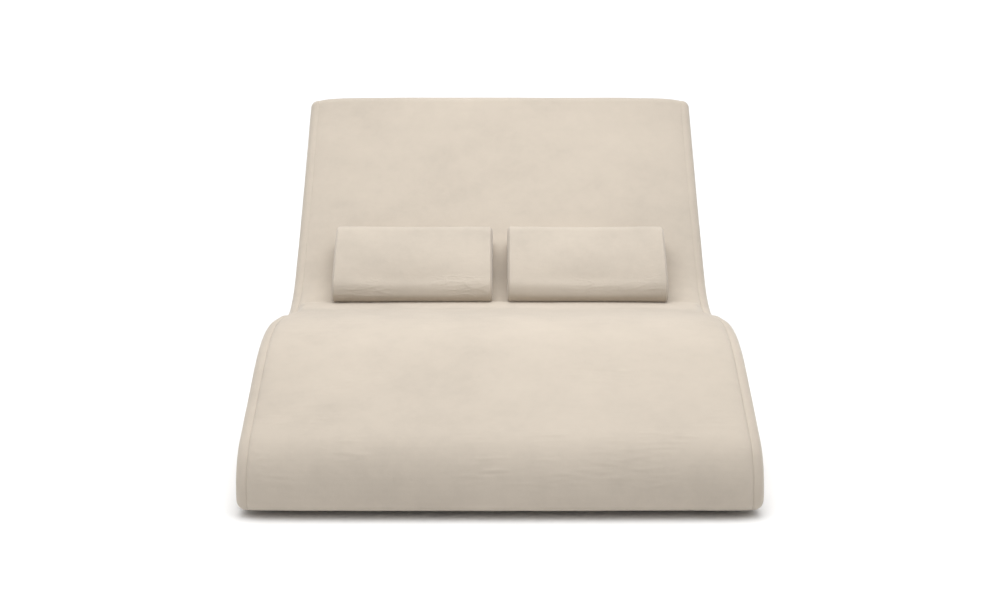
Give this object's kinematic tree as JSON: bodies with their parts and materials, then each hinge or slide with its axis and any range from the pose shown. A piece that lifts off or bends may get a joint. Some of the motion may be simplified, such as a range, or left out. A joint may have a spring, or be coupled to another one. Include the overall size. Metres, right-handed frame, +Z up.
{
  "type": "spa relaxation lounger",
  "caption": "Upholstered wave-shaped relaxation lounger for two people, with a raised knee crest, a hip dip, a raked backrest and loose lumbar pillows.",
  "frame": {"origin": "on the floor under the middle of the whole lounger, halfway between the foot end and the top edge of the backrest", "axes": "+Z up, +X across the width, +Y from the foot end towards the backrest"},
  "size_m": [1.4, 1.9168, 0.8973],
  "materials": {
    "body_fabric": "matte",
    "pillow_fabric": "matte",
    "foam": "matte",
    "wadding": "matte",
    "nonwoven": "matte",
    "zip_tape": "matte",
    "plywood": "matte",
    "timber": "matte",
    "glide_plastic": "satin",
    "steel": "satin"
  },
  "bodies": {
    "lounger": {"back_deck": "plywood", "back_foam": "foam", "back_rail": "timber", "border_cover_left": "body_fabric", "border_cover_right": "body_fabric", "border_foam_left": "foam", "border_foam_right": "foam", "corner_blocks": "timber", "crest_rail": "timber", "dust_cover": "nonwoven", "frame_screws": "steel", "front_base_rail": "timber", "glide_front_centre": "glide_plastic", "glide_front_left": "glide_plastic", "glide_front_right": "glide_plastic", "glide_middle_centre": "glide_plastic", "glide_middle_left": "glide_plastic", "glide_middle_right": "glide_plastic", "glide_rear_centre": "glide_plastic", "glide_rear_left": "glide_plastic", "glide_rear_right": "glide_plastic", "glide_screws": "steel", "heel_rail": "timber", "leg_deck": "plywood", "leg_foam": "foam", "lumbar_rail": "timber", "main_cover": "body_fabric", "main_wadding": "wadding", "middle_base_rail": "timber", "rear_base_rail": "timber", "rear_board": "plywood", "rear_cover": "body_fabric", "rear_rail": "timber", "rear_wadding": "wadding", "rib_centre": "plywood", "rib_left_inner": "plywood", "rib_left_outer": "plywood", "rib_right_inner": "plywood", "rib_right_outer": "plywood", "seat_foam": "foam", "shin_rail": "timber", "thigh_rail": "timber", "top_rail": "timber", "top_roll_foam": "foam"},
    "left_pillow": {"left_pillow_fill": "foam", "left_pillow_inner_end": "pillow_fabric", "left_pillow_outer_end": "pillow_fabric", "left_pillow_wrap": "pillow_fabric", "left_pillow_zip": "zip_tape"},
    "left_zip_slider": {"left_pillow_zip_slider": "steel"},
    "right_pillow": {"right_pillow_fill": "foam", "right_pillow_inner_end": "pillow_fabric", "right_pillow_outer_end": "pillow_fabric", "right_pillow_wrap": "pillow_fabric", "right_pillow_zip": "zip_tape"},
    "right_zip_slider": {"right_pillow_zip_slider": "steel"}
  },
  "joints": [
    {"name": "left_pillow_lift", "type": "slide", "parent": "lounger", "child": "left_pillow", "axis": [0, 0, 1], "range_m": [0, 0.35]},
    {"name": "right_pillow_lift", "type": "slide", "parent": "lounger", "child": "right_pillow", "axis": [0, 0, 1], "range_m": [0, 0.35]},
    {"name": "left_zip_run", "type": "slide", "parent": "left_pillow", "child": "left_zip_slider", "axis": [-1, 0, 0], "range_m": [0, 0.436]},
    {"name": "right_zip_run", "type": "slide", "parent": "right_pillow", "child": "right_zip_slider", "axis": [1, 0, 0], "range_m": [0, 0.436]}
  ]
}
